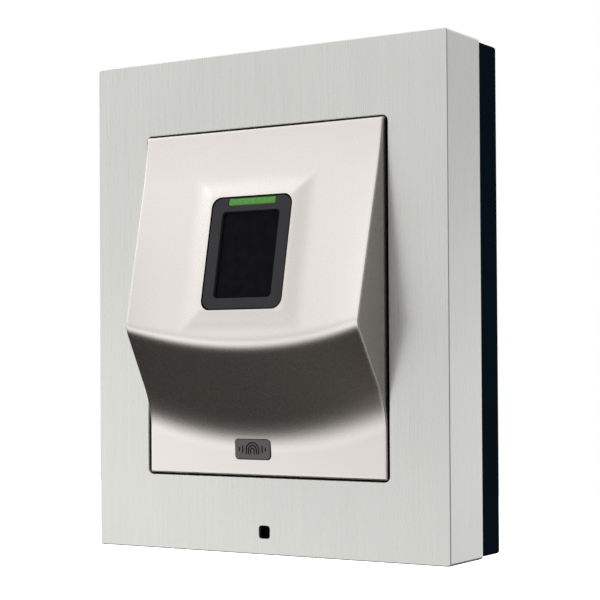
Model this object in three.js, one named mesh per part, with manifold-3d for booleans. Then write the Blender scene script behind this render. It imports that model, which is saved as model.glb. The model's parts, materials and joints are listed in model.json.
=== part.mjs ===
// A wall-mounted fingerprint scanner terminal for door access. A black wall box carries the reader
// module; a brushed metal frame hooks over the top of the box and is held by two screws underneath.
// The module's hooded cover stands through the frame, with the scanner in a raised pad on its slope.
//
// Millimetres, +Z up. The origin is the centre of the face that meets the wall, which is the plane
// y = 0. +X is to the right for someone facing the terminal, and the front faces -Y.
import * as THREE from "three";
import { mergeVertices } from "three/addons/utils/BufferGeometryUtils.js";
import Module from "manifold-3d";

const wasm = await Module();
wasm.setup();

// ---------------------------------------------------------------- driving dimensions

const BODY = { width: 107, height: 130, depth: 28 };
const FRONT_Y = -BODY.depth;
const HALF_WIDTH = BODY.width / 2;
const HALF_HEIGHT = BODY.height / 2;

const FRAME = {
  rearY: -10.3,
  corner: 0.8,
  plate: 2,
  sideWall: 2,
  topWall: 2,
  bottomWall: 3,
  aperture: { width: 73.7, height: 90.6, corner: 1.4 },
  port: { size: 3.4, corner: 0.8, z: -59.2 },
};
const FRAME_INSIDE = {
  x: HALF_WIDTH - FRAME.sideWall,
  top: HALF_HEIGHT - FRAME.topWall,
  bottom: -HALF_HEIGHT + FRAME.bottomWall,
  y: FRONT_Y + FRAME.plate,
};

// The hook ribs hang behind a rim on the box, just under the frame's top wall.
const HOOK = { x: 28, halfWidth: 6, ribFrontY: -13, ribRearY: -12, ribLow: 61 };
const HOOK_RIM = { halfWidth: 7, frontY: -16, rearY: -14.8, high: 62.4 };

const BOX = {
  inset: 0.4,
  depth: 10,
  back: 2,
  corner: 0.9,
  step: { x: 50.9, low: -61, high: 60.7, frontY: -16 },
  well: { x: 49.3, low: -59.4, high: 59.1, corner: 2 },
};

// Slots for the wall screws, and the round entry for the cable, both through the back of the box.
const WALL_SLOT = { x: 24, z: 50, width: 3.8, length: 9 };
const CABLE_ENTRY = { z: 24, radius: 10, lipRadius: 12, lip: 1.2, hole: 3.2 };

// The two screws that hold the frame, seen from below. They stay in the box; the frame slides off them.
const LOCK = {
  x: 30,
  y: -14.5,
  shank: 1.5,
  tipFlat: 0.5,
  bore: 1.62,
  top: -52.5,
  head: { radius: 2.75, low: -65, high: -63.55, socket: 1.15, socketDepth: 0.9 },
  washer: { radius: 3, hole: 1.6, low: -63.5, high: -63.1 },
  slotWidth: 3.5,
  recessWidth: 6.8,
  recessHigh: -63,
  boss: { halfWidth: 4, frontY: -18.5, rearY: -10.5, high: -51.5 },
};

// The module's black chassis: a flange that screws to the box, and a tray behind it for the electronics.
const CHASSIS = {
  flange: { width: 96, height: 108, corner: 3, frontY: -23, rearY: -21 },
  tray: { width: 76, height: 93, corner: 2, wall: 1.8, rearY: -11.5, floorY: -13 },
  post: { x: 30, z: 38, radius: 2.5, frontY: -14.5, hole: 1.3 },
  window: { halfWidth: 9, low: -42, high: -19 },
};
const MODULE_SCREW = { x: 44, z: 49.5, shank: 1.25, bore: 1.45, head: 2.7, headHeight: 1.7, tip: -8 };
const COVER_SCREW = { shank: 1, bore: 1.15, head: 2.1, headHeight: 1.5, tip: -23 };
const BOSS_RADIUS = 3.3;

// The hooded cover. Depths are measured outwards from the front of the frame.
const COVER = { width: 72.5, height: 89.6, wall: 2, draft: 0.09, rearY: -24.1 };
const HOOD = {
  slope: 0.212,
  slopeAtSides: 0.03,
  underside: 0.512,
  undersideAtSides: 0.078,
  footMiddle: -34.4,
  footRise: 6.9,
  ridgeSoftness: 1.8,
  coveSoftness: 2.4,
  coveWidening: 1,
  columns: 10,
  rows: 36,
};
const COVER_FLANGE = { width: 80, height: 97, corner: 2, frontY: -25.5, rearY: -24.1 };
const COVER_BOSS = { radius: 2.7, rearY: -16.2 };
const GASKET = { outer: [79.4, 96.4], inner: [74, 91], corner: 2, frontY: -24.07, rearY: -23.07 };

// The scanner sits square to the slope, so its sizes are in a frame tilted with it: z runs up the
// slope and -y points out of it. PAD is the raised surround moulded in the cover.
const READER_Z = 12.3;
const PAD = { width: 34.6, height: 39, topWidth: 25, topHeight: 30.4, proud: 0.8, sunk: 0.6 };
const BEZEL = {
  width: 24,
  height: 29.4,
  corner: 2.8,
  frontY: -0.7,
  shoulderY: 2.3,
  rearY: 3.5,
  flangeWidth: 27,
  flangeHeight: 32.4,
  gap: 0.3,
};
const WINDOW = {
  z: -0.45,
  width: 17.2,
  height: 22.6,
  corner: 1,
  frontY: 0.1,
  lip: 0.5,
  thickness: 1.3,
  gap: 0.1,
};
const LIGHT = { width: 14.2, height: 1.8, topGap: 0.25, frontY: -0.65, rearY: 6.6, gap: 0.1 };
const SENSOR = { width: 17.6, height: 23, frontY: 1.5, rearY: 7.4 };
const SENSOR_BOARD = { width: 26, height: 34, frontY: 7.6, rearY: 9.2 };
const LEG = { x: 11.6, z: 14, size: 2.2 };

const MAIN_BOARD = { width: 66, height: 82, frontY: -16.1, rearY: -14.5, corner: 1.5 };
const RIBBON = { width: 9, thickness: 0.3 };
const TERMINAL = {
  width: 15,
  bottomY: -14.4,
  topY: -6.9,
  headerLow: -28,
  headerHigh: -21,
  plugLow: -37.6,
  holeX: 1.1,
  holeY: 1.3,
  holeDepth: 5,
};
const TERMINAL_WAYS = 4;

// The small board behind the flange's lower edge, with the reset and tamper switches.
const SERVICE = {
  z: -50.7,
  board: { width: 42, height: 6.6, frontY: -17.2, rearY: -16 },
  switchSize: 6,
  switchFrontY: -20.7,
  resetX: -16,
  tamperX: 16,
  stakeX: 8,
  stakeRadius: 1,
};
const RESET = { cap: 1.6, stem: 1.1, capFrontY: -22.5, capRearY: -21.2, stemRearY: -19.4, boreRearY: -18.9 };
const TAMPER = { radius: 1.2, tipFlat: 0.6, frontY: -25.8, rearY: -18.7, boreRearY: -18.3 };
const RUNNING_GAP = 0.1;
const CUT_REACH = 9;

const BADGE = {
  x: -3.3,
  z: -38,
  width: 10.9,
  height: 5.2,
  corner: 1,
  frontY: -28.35,
  rearY: -27.3,
  gap: 0.12,
};
const ENGRAVING = { depth: 0.25, line: 0.35, arches: [0.7, 1.4, 2.1], archFoot: -1.3, archSpring: -0.2 };
const ARCH_SEGMENTS = 6;
const ENGRAVED_BARS = [
  { x: 3, halfHeight: 0.95 },
  { x: 4, halfHeight: 0.5 },
];

// ---------------------------------------------------------------- finishes

const FINISH = {
  brushedMetal: { color: 0xd0d1cc, roughness: 0.42, metalness: 0.85 },
  hoodPlastic: { color: 0xe4ddd6, roughness: 0.48, metalness: 0.1 },
  blackPlastic: { color: 0x0d1114, roughness: 0.55, metalness: 0 },
  greyPlastic: { color: 0x47464b, roughness: 0.5, metalness: 0 },
  darkGlass: { color: 0x131218, roughness: 0.12, metalness: 0 },
  greenLight: { color: 0x3f9b2d, roughness: 0.35, metalness: 0 },
  badgeMetal: { color: 0x76746f, roughness: 0.4, metalness: 0.7 },
  rubber: { color: 0x1c1c1d, roughness: 0.85, metalness: 0 },
  board: { color: 0x1f5a35, roughness: 0.5, metalness: 0 },
  component: { color: 0x151516, roughness: 0.5, metalness: 0 },
  terminal: { color: 0x2e7d46, roughness: 0.45, metalness: 0 },
  steel: { color: 0xa8aaac, roughness: 0.35, metalness: 0.9 },
  ribbon: { color: 0xd9d6cc, roughness: 0.5, metalness: 0 },
  whitePlastic: { color: 0xe6e4dd, roughness: 0.45, metalness: 0 },
};

// ---------------------------------------------------------------- geometry helpers

// A closed three.js geometry as a solid that can be joined and cut.
function solid(geometry) {
  const bare = geometry.clone();
  bare.deleteAttribute("normal");
  bare.deleteAttribute("uv");
  const merged = mergeVertices(bare, 1e-4);
  return new wasm.Manifold(
    new wasm.Mesh({
      numProp: 3,
      vertProperties: new Float32Array(merged.attributes.position.array),
      triVerts: new Uint32Array(merged.index.array),
    }),
  );
}

const asSolid = (piece) => (piece.isBufferGeometry ? solid(piece) : piece);

const join = (...pieces) => pieces.map(asSolid).reduce((whole, piece) => whole.add(piece));

const cut = (body, ...tools) => {
  return tools.map(asSolid).reduce((whole, tool) => whole.subtract(tool), asSolid(body));
};

function geometryOf(body) {
  const made = body.getMesh();
  const geometry = new THREE.BufferGeometry();
  geometry.setAttribute("position", new THREE.BufferAttribute(made.vertProperties, 3));
  geometry.setIndex(new THREE.BufferAttribute(made.triVerts, 1));
  geometry.computeVertexNormals();
  return geometry;
}

function addPiece(group, name, body, finish) {
  const geometry = body.isBufferGeometry ? body : geometryOf(body);
  const piece = new THREE.Mesh(geometry, new THREE.MeshStandardMaterial(finish));
  piece.name = name;
  group.add(piece);
  return piece;
}

// A box between two limits on each axis.
function block([x0, x1], [y0, y1], [z0, z1]) {
  const geometry = new THREE.BoxGeometry(x1 - x0, y1 - y0, z1 - z0);
  return geometry.translate((x0 + x1) / 2, (y0 + y1) / 2, (z0 + z1) / 2);
}

const spread = (middle, half) => [middle - half, middle + half];

// A rectangle with round corners, centred on (x, z).
function roundedRectangle(width, height, radius, x = 0, z = 0) {
  const [left, right] = spread(x, width / 2);
  const [low, high] = spread(z, height / 2);
  const shape = new THREE.Shape();
  shape.moveTo(left + radius, low);
  shape.absarc(right - radius, low + radius, radius, -Math.PI / 2, 0);
  shape.absarc(right - radius, high - radius, radius, 0, Math.PI / 2);
  shape.absarc(left + radius, high - radius, radius, Math.PI / 2, Math.PI);
  shape.absarc(left + radius, low + radius, radius, Math.PI, 1.5 * Math.PI);
  return shape;
}

// An outline in the XZ plane, given thickness from y = rear to y = front (front is the lower value).
function slab(shape, rear, front, curveSegments = 4) {
  const settings = { depth: rear - front, bevelEnabled: false, curveSegments };
  return new THREE.ExtrudeGeometry(shape, settings).rotateX(Math.PI / 2).translate(0, rear, 0);
}

// A round bar along Y.
function rod(radius, [y0, y1], x = 0, z = 0, sides = 14) {
  return new THREE.CylinderGeometry(radius, radius, y1 - y0, sides).translate(x, (y0 + y1) / 2, z);
}

// A round bar along Z.
function upright(radius, [z0, z1], x, y, sides = 20) {
  const bar = new THREE.CylinderGeometry(radius, radius, z1 - z0, sides).rotateX(Math.PI / 2);
  return bar.translate(x, y, (z0 + z1) / 2);
}

// A profile of [radius, y] points turned about the Y axis.
function turned(points, sides = 20) {
  const profile = points.map(([radius, y]) => new THREE.Vector2(radius, y));
  return new THREE.LatheGeometry(profile, sides);
}

const corners = (x, z) => [
  [-x, z],
  [x, z],
  [x, -z],
  [-x, -z],
];

// ---------------------------------------------------------------- the hood's surface

// The lower of two heights, with the crease between them rounded over a stretch of `softness`.
function softLower(a, b, softness) {
  const share = THREE.MathUtils.clamp(0.5 + (0.5 * (b - a)) / softness, 0, 1);
  return b * (1 - share) + a * share - softness * share * (1 - share);
}

// How far the hood stands out of the frame's face, at `across` (-1 to 1 over the width) and height z.
function hoodDepth(across, z) {
  const bow = across * across;
  const flare = bow * bow;
  const slope = (HOOD.slope + HOOD.slopeAtSides * flare) * (COVER.height / 2 - z);
  const overhang = HOOD.underside + HOOD.undersideAtSides * flare;
  const underside = overhang * (z - HOOD.footMiddle - HOOD.footRise * bow);
  const ridge = softLower(slope, underside, HOOD.ridgeSoftness);
  return Math.max(0, -softLower(-ridge, 0, HOOD.coveSoftness + HOOD.coveWidening * bow));
}

// The middle ring of the hood's block lies this far behind the front's own edge.
const LAYER_STEP = 0.01;

// A block whose front follows the hood, drawn in by `inset` on each side and on the front.
function hoodBody(inset, rearY) {
  const body = new THREE.BoxGeometry(2, 2, 2, HOOD.columns, 2, HOOD.rows);
  const place = body.attributes.position;
  for (let i = 0; i < place.count; i++) {
    const across = place.getX(i);
    const layer = place.getY(i);
    const z = (place.getZ(i) * (COVER.height - 2 * inset)) / 2;
    const depth = layer < 0 ? hoodDepth(across, z) : 0;
    const halfWidth = COVER.width / 2 - inset - COVER.draft * depth;
    const y = layer > 0 ? rearY : FRONT_Y - depth + inset;
    place.setXYZ(i, across * halfWidth, layer === 0 ? y + LAYER_STEP : y, z);
  }
  return body;
}

// ---------------------------------------------------------------- the metal frame

const terminal = new THREE.Group();

function frontFrame() {
  const { aperture, port } = FRAME;
  const shell = slab(roundedRectangle(BODY.width, BODY.height, FRAME.corner), FRAME.rearY, FRONT_Y);
  const inside = block(
    [-FRAME_INSIDE.x, FRAME_INSIDE.x],
    [FRAME_INSIDE.y, 0],
    [FRAME_INSIDE.bottom, FRAME_INSIDE.top],
  );
  const opening = slab(roundedRectangle(aperture.width, aperture.height, aperture.corner), 0, FRONT_Y - 1);
  const portHole = slab(roundedRectangle(port.size, port.size, port.corner, 0, port.z), 0, FRONT_Y - 1);
  let frame = cut(shell, inside, opening, portHole);
  for (const side of [-1, 1]) {
    const x = side * LOCK.x;
    const rear = [LOCK.y, 0];
    const below = -HALF_HEIGHT - 1;
    frame = cut(
      frame,
      block(spread(x, LOCK.slotWidth / 2), rear, [below, FRAME_INSIDE.bottom + 1]),
      upright(LOCK.slotWidth / 2, [below, FRAME_INSIDE.bottom + 1], x, LOCK.y),
      block(spread(x, LOCK.recessWidth / 2), rear, [below, LOCK.recessHigh]),
      upright(LOCK.recessWidth / 2, [below, LOCK.recessHigh], x, LOCK.y, 28),
    );
    frame = join(
      frame,
      block(
        spread(side * HOOK.x, HOOK.halfWidth),
        [HOOK.ribFrontY, HOOK.ribRearY],
        [HOOK.ribLow, FRAME_INSIDE.top + 1],
      ),
    );
  }
  return frame;
}
addPiece(terminal, "front_frame", frontFrame(), FINISH.brushedMetal);

// A small dark plug fills the square port in the frame's lower border, set back from the face.
const PORT_PLUG = { size: 3.2, corner: 0.7, frontY: -27.4, rearY: -25.6, lip: 4.6, lipRearY: -24.8 };
const portPlug = join(
  slab(
    roundedRectangle(PORT_PLUG.size, PORT_PLUG.size, PORT_PLUG.corner, 0, FRAME.port.z),
    PORT_PLUG.rearY,
    PORT_PLUG.frontY,
  ),
  slab(
    roundedRectangle(PORT_PLUG.lip, PORT_PLUG.lip, PORT_PLUG.corner, 0, FRAME.port.z),
    PORT_PLUG.lipRearY,
    PORT_PLUG.rearY - 0.1,
  ),
);
addPiece(terminal, "port_plug", portPlug, FINISH.blackPlastic);

// ---------------------------------------------------------------- the wall box

function wallBox() {
  const { step, well } = BOX;
  const tray = slab(
    roundedRectangle(BODY.width - 2 * BOX.inset, BODY.height - 2 * BOX.inset, BOX.corner),
    0,
    -BOX.depth,
  );
  const stepShell = block([-step.x, step.x], [step.frontY, -BOX.back], [step.low, step.high]);
  const wellHeight = well.high - well.low;
  const wellMiddle = (well.high + well.low) / 2;
  const hollow = slab(
    roundedRectangle(2 * well.x, wellHeight, well.corner, 0, wellMiddle),
    -BOX.back,
    step.frontY - 1,
  );
  let box = cut(join(tray, stepShell), hollow);
  for (const side of [-1, 1]) {
    const rim = block(
      spread(side * HOOK.x, HOOK_RIM.halfWidth),
      [HOOK_RIM.frontY, HOOK_RIM.rearY],
      [well.high, HOOK_RIM.high],
    );
    const { boss } = LOCK;
    const lockBoss = block(
      spread(side * LOCK.x, boss.halfWidth),
      [boss.frontY, boss.rearY],
      [step.low, boss.high],
    );
    const threadHole = upright(LOCK.bore, [-HALF_HEIGHT, boss.high + 1], side * LOCK.x, LOCK.y, 24);
    box = cut(join(box, rim, lockBoss), threadHole);
  }
  for (const [x, z] of corners(MODULE_SCREW.x, MODULE_SCREW.z)) {
    const boss = rod(BOSS_RADIUS, [CHASSIS.flange.rearY + RUNNING_GAP, -BOX.back / 2], x, z);
    const bore = rod(MODULE_SCREW.bore, [CHASSIS.flange.rearY - 1, MODULE_SCREW.tip + 1], x, z);
    box = cut(join(box, boss), bore);
  }
  for (const [x, z] of corners(WALL_SLOT.x, WALL_SLOT.z)) {
    const outline = roundedRectangle(WALL_SLOT.width, WALL_SLOT.length, WALL_SLOT.width / 2, x, z);
    box = cut(box, slab(outline, 1, -BOX.back - 1));
  }
  return cut(box, rod(CABLE_ENTRY.radius, [-BOX.back - 1, 1], 0, CABLE_ENTRY.z, 32));
}
addPiece(terminal, "wall_box", wallBox(), FINISH.blackPlastic);

// The rubber grommet in the cable entry, with a lip inside the box and a hole for the cable.
const grommet = turned(
  [
    [CABLE_ENTRY.hole, -BOX.back - RUNNING_GAP - CABLE_ENTRY.lip],
    [CABLE_ENTRY.lipRadius, -BOX.back - RUNNING_GAP - CABLE_ENTRY.lip],
    [CABLE_ENTRY.lipRadius, -BOX.back - RUNNING_GAP],
    [CABLE_ENTRY.radius - RUNNING_GAP - 0.1, -BOX.back - RUNNING_GAP],
    [CABLE_ENTRY.radius - RUNNING_GAP - 0.1, -0.2],
    [CABLE_ENTRY.hole, -0.2],
    [CABLE_ENTRY.hole, -BOX.back - RUNNING_GAP - CABLE_ENTRY.lip],
  ],
  32,
);
addPiece(terminal, "cable_grommet", grommet, FINISH.rubber).position.z = CABLE_ENTRY.z;

// ---------------------------------------------------------------- the module's chassis

function moduleChassis() {
  const { flange, tray, post, window: opening } = CHASSIS;
  const outline = roundedRectangle(flange.width, flange.height, flange.corner);
  const plate = slab(outline, flange.rearY, flange.frontY);
  const shell = slab(roundedRectangle(tray.width, tray.height, tray.corner), tray.rearY, flange.rearY - 0.5);
  const hollow = slab(
    roundedRectangle(tray.width - 2 * tray.wall, tray.height - 2 * tray.wall, tray.corner),
    tray.floorY,
    flange.frontY - 1,
  );
  let chassis = cut(
    join(plate, shell),
    hollow,
    block(spread(0, opening.halfWidth), [tray.floorY - 1, tray.rearY + 1], [opening.low, opening.high]),
  );
  for (const [x, z] of corners(post.x, post.z)) {
    chassis = join(chassis, rod(post.radius, [post.frontY + RUNNING_GAP, tray.rearY - 0.5], x, z));
    chassis = cut(chassis, rod(post.hole, [post.frontY - 1, tray.rearY + 1], x, z));
  }
  for (const [x, z] of corners(MODULE_SCREW.x, MODULE_SCREW.z)) {
    chassis = cut(chassis, rod(MODULE_SCREW.bore, [flange.frontY - 1, flange.rearY + 1], x, z));
  }
  const through = [flange.frontY - 1, flange.rearY + 1];
  for (const side of [-1, 1]) {
    const length = [flange.rearY - 0.5, SERVICE.board.rearY + 0.5];
    const stake = rod(SERVICE.stakeRadius, length, side * SERVICE.stakeX, SERVICE.z, 12);
    chassis = join(chassis, stake);
  }
  return cut(
    chassis,
    rod(RESET.cap + RUNNING_GAP, through, SERVICE.resetX, SERVICE.z),
    rod(TAMPER.radius + RUNNING_GAP, through, SERVICE.tamperX, SERVICE.z),
  );
}
addPiece(terminal, "module_chassis", moduleChassis(), FINISH.blackPlastic);

// Proportions of a pan-head screw, as shares of its head or shank, and the size of its cross recess.
const PAN_HEAD = { flat: 0.6, shoulder: 0.45, tipTaper: 0.6, tipFlat: 0.4, recessReach: 0.52 };
const CROSS_RECESS = { halfWidth: 0.28, depth: 0.65 };
const SCREW_SIDES = 14;

// A pan-head screw along Y with a cross recess. `out` is -1 when its head faces the front.
function panScrew({ shank, head, headHeight }, seatY, tipY, out) {
  const topY = seatY + out * headHeight;
  const profile = [
    [0, topY],
    [head * PAN_HEAD.flat, topY],
    [head, seatY + out * headHeight * PAN_HEAD.shoulder],
    [head, seatY],
    [shank, seatY],
    [shank, tipY + out * shank * PAN_HEAD.tipTaper],
    [shank * PAN_HEAD.tipFlat, tipY],
    [0, tipY],
  ];
  const outline = out < 0 ? profile : profile.reverse();
  const recess = [topY - out * CROSS_RECESS.depth, topY + out * CUT_REACH].sort((a, b) => a - b);
  const arm = spread(0, head * PAN_HEAD.recessReach);
  const slot = spread(0, CROSS_RECESS.halfWidth);
  return cut(turned(outline, SCREW_SIDES), block(arm, recess, slot), block(slot, recess, arm));
}

corners(MODULE_SCREW.x, MODULE_SCREW.z).forEach(([x, z], index) => {
  const screw = panScrew(MODULE_SCREW, CHASSIS.flange.frontY, MODULE_SCREW.tip, -1);
  addPiece(terminal, `module_screw_${index + 1}`, screw, FINISH.steel).position.set(x, 0, z);
});

// These four come from behind, through the chassis and the main board, into the cover.
corners(CHASSIS.post.x, CHASSIS.post.z).forEach(([x, z], index) => {
  const screw = panScrew(COVER_SCREW, CHASSIS.tray.rearY, COVER_SCREW.tip, 1);
  addPiece(terminal, `cover_screw_${index + 1}`, screw, FINISH.steel).position.set(x, 0, z);
});

// ---------------------------------------------------------------- the screws that hold the frame

function lockScrew() {
  const { head } = LOCK;
  const profile = [
    [0, head.low],
    [head.radius, head.low],
    [head.radius, head.high],
    [LOCK.shank, head.high],
    [LOCK.shank, LOCK.top - 1],
    [LOCK.shank * LOCK.tipFlat, LOCK.top],
    [0, LOCK.top],
  ];
  const body = turned(profile, 24).rotateX(Math.PI / 2);
  const socketTop = head.low + head.socketDepth;
  return cut(body, upright(head.socket, [head.low - 1, socketTop], 0, 0, 6));
}

function lockWasher() {
  const { washer } = LOCK;
  const ring = [
    [washer.hole, washer.low],
    [washer.radius, washer.low],
    [washer.radius, washer.high],
    [washer.hole, washer.high],
    [washer.hole, washer.low],
  ];
  return turned(ring, 24).rotateX(Math.PI / 2);
}

for (const [name, side] of [
  ["left", -1],
  ["right", 1],
]) {
  const place = [side * LOCK.x, LOCK.y, 0];
  addPiece(terminal, `lock_screw_${name}`, lockScrew(), FINISH.steel).position.set(...place);
  addPiece(terminal, `lock_washer_${name}`, solid(lockWasher()), FINISH.steel).position.set(...place);
}

// ---------------------------------------------------------------- the scanner, square to the slope

const READER_DEPTH = HOOD.slope * (COVER.height / 2 - READER_Z);
const reader = new THREE.Group();
reader.position.set(0, FRONT_Y - READER_DEPTH, READER_Z);
reader.rotation.x = -Math.atan(HOOD.slope);
reader.updateMatrix();
terminal.add(reader);

function sensorBezel() {
  const plate = slab(roundedRectangle(BEZEL.width, BEZEL.height, BEZEL.corner), BEZEL.rearY, BEZEL.frontY);
  const flange = slab(
    roundedRectangle(BEZEL.flangeWidth, BEZEL.flangeHeight, BEZEL.corner),
    BEZEL.rearY,
    BEZEL.shoulderY,
  );
  const windowOutline = roundedRectangle(WINDOW.width, WINDOW.height, WINDOW.corner, 0, WINDOW.z);
  const opening = slab(windowOutline, CUT_REACH, -CUT_REACH);
  const pocketSize = 2 * WINDOW.lip;
  const pocket = slab(
    roundedRectangle(WINDOW.width + pocketSize, WINDOW.height + pocketSize, WINDOW.corner, 0, WINDOW.z),
    CUT_REACH,
    WINDOW.frontY - RUNNING_GAP,
  );
  const lightTop = BEZEL.height / 2 - LIGHT.topGap;
  const lightSlot = block(
    spread(0, LIGHT.width / 2 + LIGHT.gap),
    spread(0, CUT_REACH),
    [lightTop - LIGHT.height - LIGHT.gap, lightTop + LIGHT.gap],
  );
  const legs = corners(LEG.x, LEG.z).map(([x, z]) => {
    const length = [BEZEL.rearY - 0.5, SENSOR_BOARD.frontY - RUNNING_GAP];
    return block(spread(x, LEG.size / 2), length, spread(z, LEG.size / 2));
  });
  return join(cut(join(plate, flange), opening, pocket, lightSlot), ...legs);
}
addPiece(reader, "sensor_bezel", sensorBezel(), FINISH.greyPlastic);

const glassEdge = 2 * (WINDOW.lip - WINDOW.gap);
const sensorWindow = slab(
  roundedRectangle(WINDOW.width + glassEdge, WINDOW.height + glassEdge, WINDOW.corner, 0, WINDOW.z),
  WINDOW.frontY + WINDOW.thickness,
  WINDOW.frontY,
);
addPiece(reader, "sensor_window", sensorWindow, FINISH.darkGlass);

const sensorModule = block(
  spread(0, SENSOR.width / 2),
  [SENSOR.frontY, SENSOR.rearY],
  spread(WINDOW.z, SENSOR.height / 2),
);
addPiece(reader, "sensor_module", sensorModule, FINISH.component);

// The light guide carries the green light from the lamp on the board to the bezel's upper edge.
const LIGHT_Z = BEZEL.height / 2 - LIGHT.topGap - LIGHT.height / 2;
const lightGuide = block(
  spread(0, LIGHT.width / 2),
  [LIGHT.frontY, LIGHT.rearY],
  spread(LIGHT_Z, LIGHT.height / 2),
);
addPiece(reader, "light_guide", lightGuide, FINISH.greenLight);

const LAMP = { halfWidth: 1.6, halfHeight: 0.8, boardGap: 0.05 };
const statusLamp = block(
  spread(0, LAMP.halfWidth),
  [LIGHT.rearY + RUNNING_GAP, SENSOR_BOARD.frontY - LAMP.boardGap],
  spread(LIGHT_Z, LAMP.halfHeight),
);
addPiece(reader, "status_lamp", statusLamp, FINISH.whitePlastic);

const sensorBoard = slab(
  roundedRectangle(SENSOR_BOARD.width, SENSOR_BOARD.height, 1),
  SENSOR_BOARD.rearY,
  SENSOR_BOARD.frontY,
);
addPiece(reader, "sensor_board", sensorBoard, FINISH.board);

const SOCKET = { width: 12, depth: 2.4, length: 4, gap: 0.1 };
const SENSOR_SOCKET_Z = -12;
const sensorSocket = block(
  spread(0, SOCKET.width / 2),
  [SENSOR_BOARD.rearY + SOCKET.gap, SENSOR_BOARD.rearY + SOCKET.gap + SOCKET.depth],
  spread(SENSOR_SOCKET_Z, SOCKET.length / 2),
);
addPiece(reader, "sensor_ribbon_socket", sensorSocket, FINISH.whitePlastic);

// ---------------------------------------------------------------- the hooded cover

function tilted(geometry) {
  return geometry.applyMatrix4(reader.matrix);
}

// The raised surround of the scanner: a low block with its front drawn in to the bezel's outline.
function readerPad() {
  const pad = new THREE.BoxGeometry(PAD.width, PAD.proud + PAD.sunk, PAD.height);
  const place = pad.attributes.position;
  for (let i = 0; i < place.count; i++) {
    const front = place.getY(i) < 0;
    const x = Math.sign(place.getX(i)) * (front ? PAD.topWidth : PAD.width);
    const z = Math.sign(place.getZ(i)) * (front ? PAD.topHeight : PAD.height);
    place.setXYZ(i, x / 2, front ? -PAD.proud : PAD.sunk, z / 2);
  }
  return pad;
}

function frontCover() {
  const flange = slab(
    roundedRectangle(COVER_FLANGE.width, COVER_FLANGE.height, COVER_FLANGE.corner),
    COVER_FLANGE.rearY,
    COVER_FLANGE.frontY,
  );
  const opening = slab(
    roundedRectangle(BEZEL.width + 2 * BEZEL.gap, BEZEL.height + 2 * BEZEL.gap, BEZEL.corner),
    BEZEL.shoulderY + 1,
    -PAD.proud - 1,
  );
  const badgeSeat = slab(
    roundedRectangle(
      BADGE.width + 2 * BADGE.gap,
      BADGE.height + 2 * BADGE.gap,
      BADGE.corner + BADGE.gap,
      BADGE.x,
      BADGE.z,
    ),
    BADGE.rearY + BADGE.gap,
    FRONT_Y - 9,
  );
  let cover = cut(
    join(hoodBody(0, COVER.rearY), flange, tilted(readerPad())),
    hoodBody(COVER.wall, 0),
    tilted(opening),
    badgeSeat,
  );
  for (const [x, z] of corners(CHASSIS.post.x, CHASSIS.post.z)) {
    const frontY = FRONT_Y - hoodDepth(x / (COVER.width / 2), z) + COVER.wall / 2;
    const boss = rod(COVER_BOSS.radius, [frontY, COVER_BOSS.rearY], x, z);
    const bore = rod(COVER_SCREW.bore, [COVER_SCREW.tip - 1, COVER_BOSS.rearY + 1], x, z);
    cover = cut(join(cover, boss), bore);
  }
  return cover;
}
addPiece(terminal, "front_cover", frontCover(), FINISH.hoodPlastic);

// The badge is a plain plate with an engraved mark of arches and bars, let into the cover below the hood.
function badge() {
  const plate = slab(
    roundedRectangle(BADGE.width, BADGE.height, BADGE.corner, BADGE.x, BADGE.z),
    BADGE.rearY,
    BADGE.frontY,
  );
  const depths = [BADGE.frontY + ENGRAVING.depth, BADGE.frontY - 1];
  const inner = (radius) => radius - ENGRAVING.line;
  const foot = BADGE.z + ENGRAVING.archFoot;
  const spring = BADGE.z + ENGRAVING.archSpring;
  const arches = ENGRAVING.arches.map((radius) => {
    const arch = new THREE.Shape();
    arch.moveTo(BADGE.x + radius, foot);
    arch.absarc(BADGE.x, spring, radius, 0, Math.PI);
    arch.lineTo(BADGE.x - radius, foot);
    arch.lineTo(BADGE.x - inner(radius), foot);
    arch.absarc(BADGE.x, spring, inner(radius), Math.PI, 0, true);
    arch.lineTo(BADGE.x + inner(radius), foot);
    return slab(arch, ...depths, ARCH_SEGMENTS);
  });
  const bars = ENGRAVED_BARS.flatMap(({ x, halfHeight }) =>
    [-x, x].map((offset) => {
      const across = spread(BADGE.x + offset, ENGRAVING.line / 2);
      return block(across, [depths[1], depths[0]], spread(BADGE.z, halfHeight));
    }),
  );
  return cut(plate, ...arches, ...bars);
}
addPiece(terminal, "badge", badge(), FINISH.badgeMetal);

const gasketRing = roundedRectangle(...GASKET.outer, GASKET.corner);
gasketRing.holes.push(roundedRectangle(...GASKET.inner, GASKET.corner));
const coverGasket = slab(gasketRing, GASKET.rearY, GASKET.frontY);
addPiece(terminal, "cover_gasket", coverGasket, FINISH.rubber);

// ---------------------------------------------------------------- the main board

function mainBoard() {
  const outline = roundedRectangle(MAIN_BOARD.width, MAIN_BOARD.height, MAIN_BOARD.corner);
  for (const [x, z] of corners(CHASSIS.post.x, CHASSIS.post.z)) {
    const hole = new THREE.Path();
    hole.absarc(x, z, CHASSIS.post.hole, 0, 2 * Math.PI);
    outline.holes.push(hole);
  }
  return slab(outline, MAIN_BOARD.rearY, MAIN_BOARD.frontY, 6);
}
addPiece(terminal, "main_board", mainBoard(), FINISH.board);

// A component standing on the front of the main board.
function onBoard(halfWidth, height, halfLength, x, z) {
  const seat = MAIN_BOARD.frontY - 0.05;
  return block(spread(x, halfWidth), [seat - height, seat], spread(z, halfLength));
}
addPiece(terminal, "processor_chip", onBoard(7, 1.4, 7, -17, -16), FINISH.component);
addPiece(terminal, "memory_chip", onBoard(4, 1.1, 5.5, -17, 4), FINISH.component);

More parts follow.
